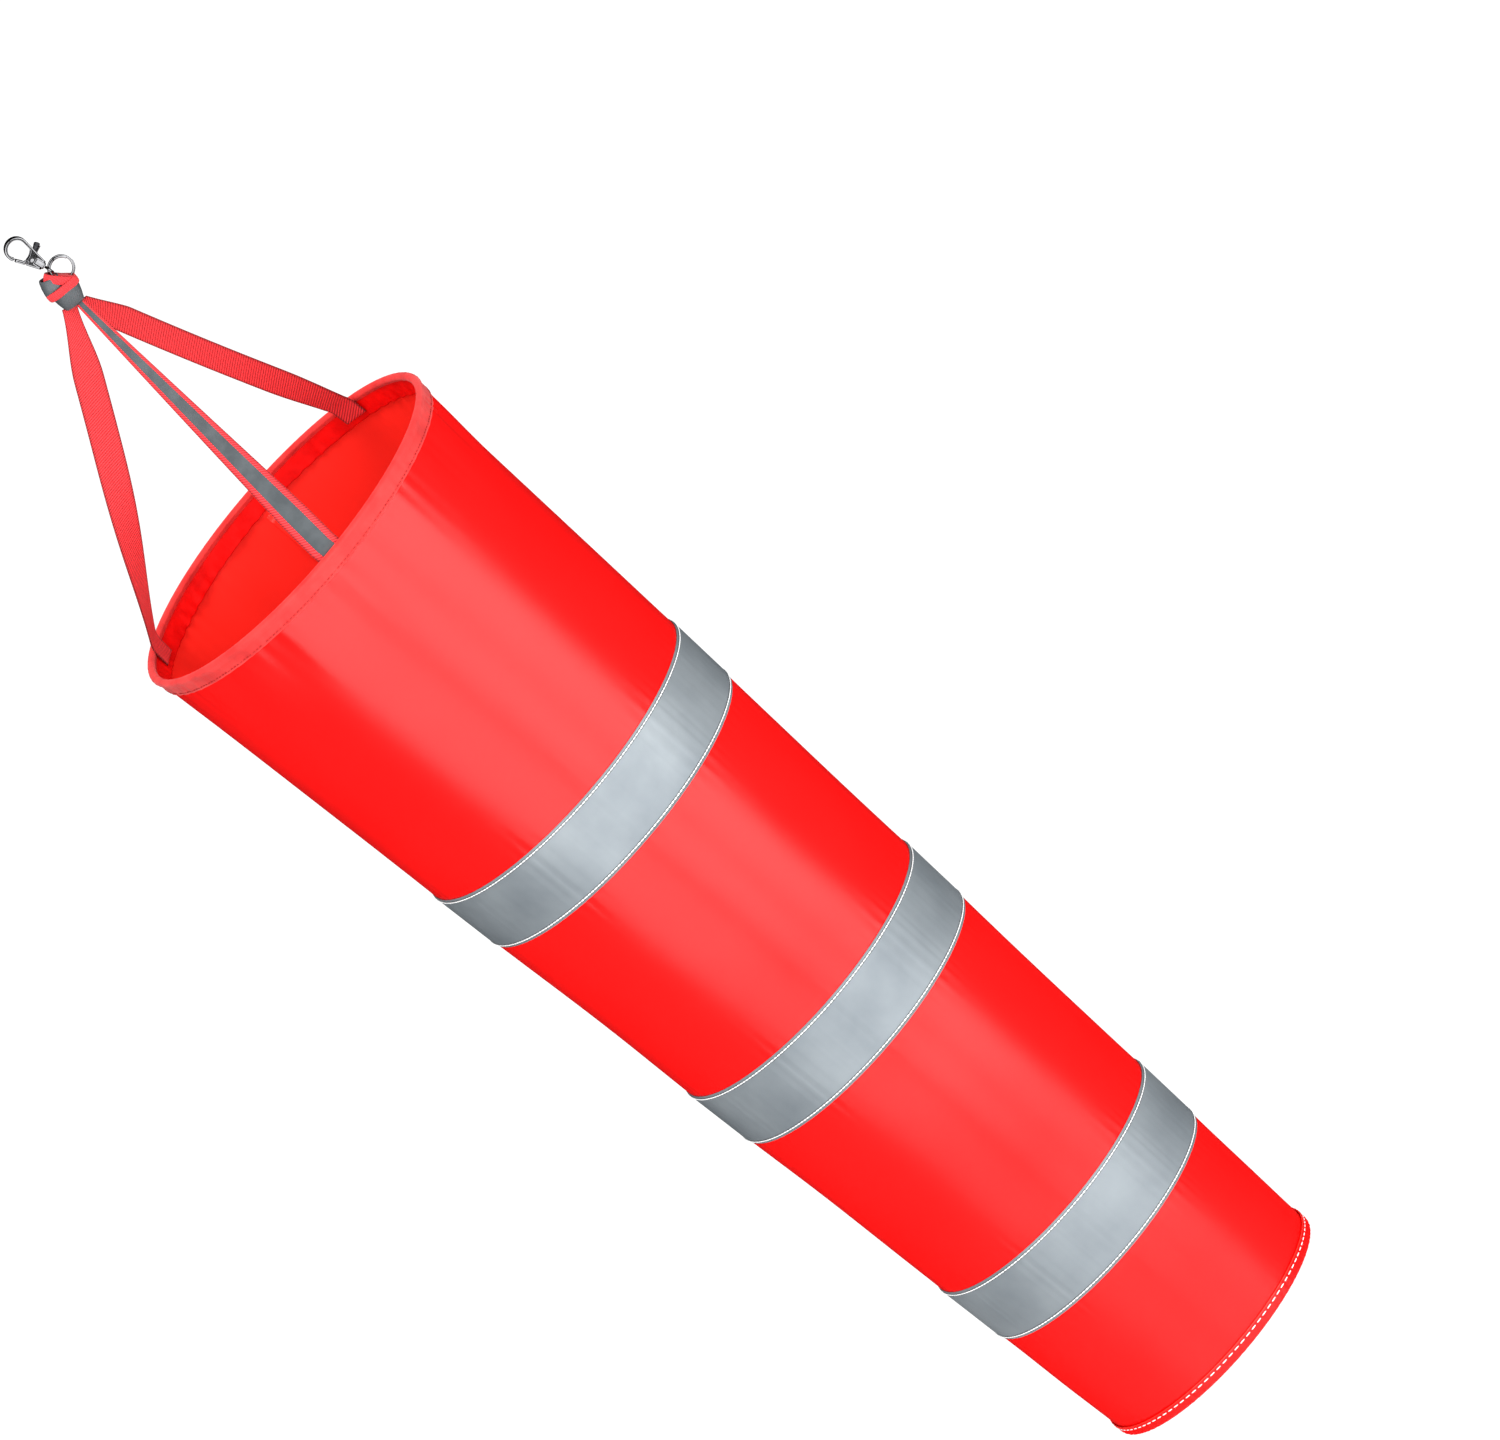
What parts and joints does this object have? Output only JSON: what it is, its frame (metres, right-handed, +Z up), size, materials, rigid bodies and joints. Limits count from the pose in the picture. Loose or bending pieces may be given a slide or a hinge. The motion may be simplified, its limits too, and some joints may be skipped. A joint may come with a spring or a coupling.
{
  "type": "windsock",
  "caption": "Tapered red cloth windsock with reflective bands, a wire-hooped mouth and a strap bridle knotted to a split ring on a swivel snap hook.",
  "frame": {"origin": "seat of the hook: the point inside the top of its loop that bears on the pole's ring or eye", "axes": "+Z up along the pull of the hanging windsock, hook, ring and knot in the XZ plane, one bridle strap on the -Y side"},
  "size_m": [0.334, 0.3204, 1.3463],
  "materials": {
    "red_cloth": "satin woven polyester",
    "red_tape": "woven binding tape",
    "red_webbing": "twill webbing",
    "reflective_tape": "silver retro-reflective tape",
    "stripe_tape": "grey reflective tape",
    "chrome": "polished",
    "steel": "plain spring steel"
  },
  "bodies": {
    "hook": {"hook_body": "chrome", "gate_pin": "steel", "gate_spring": "steel"},
    "gate": {"hook_gate": "chrome"},
    "swivel": {"swivel_eye": "chrome"},
    "ring": {"split_ring": "chrome"},
    "sock": {"bridle_knot": "red_webbing", "strap_near": "red_webbing", "strap_near_stripe": "stripe_tape", "strap_right": "red_webbing", "strap_right_stripe": "stripe_tape", "strap_left": "red_webbing", "strap_left_stripe": "stripe_tape", "mouth_hoop": "steel", "hoop_ferrule": "steel", "mouth_binding": "red_tape", "sock_cloth": "red_cloth", "side_seam": "red_cloth", "tail_hem": "red_cloth", "reflective_band_1": "reflective_tape", "reflective_band_2": "reflective_tape", "reflective_band_3": "reflective_tape"}
  },
  "joints": [
    {"name": "gate_hinge", "type": "hinge", "parent": "hook", "child": "gate", "pos_m": [0.00214, 0, -0.02228], "axis": [0, 1, 0], "range_deg": [0, 26], "stiffness_Nm_per_rad": 0.03, "springref_deg": -17.19},
    {"name": "swivel_turn", "type": "hinge", "parent": "hook", "child": "swivel", "pos_m": [0, 0, -0.0074], "axis": [-0.2079, 0, 0.9781], "continuous": true},
    {"name": "ring_swing", "type": "hinge", "parent": "swivel", "child": "ring", "pos_m": [0.00657, 0, -0.03831], "axis": [1, 0, 0], "range_deg": [-60, 60]},
    {"name": "sock_swing", "type": "hinge", "parent": "ring", "child": "sock", "pos_m": [0.01389, 0, -0.04467], "axis": [0, 1, 0], "range_deg": [-35, 5]}
  ]
}
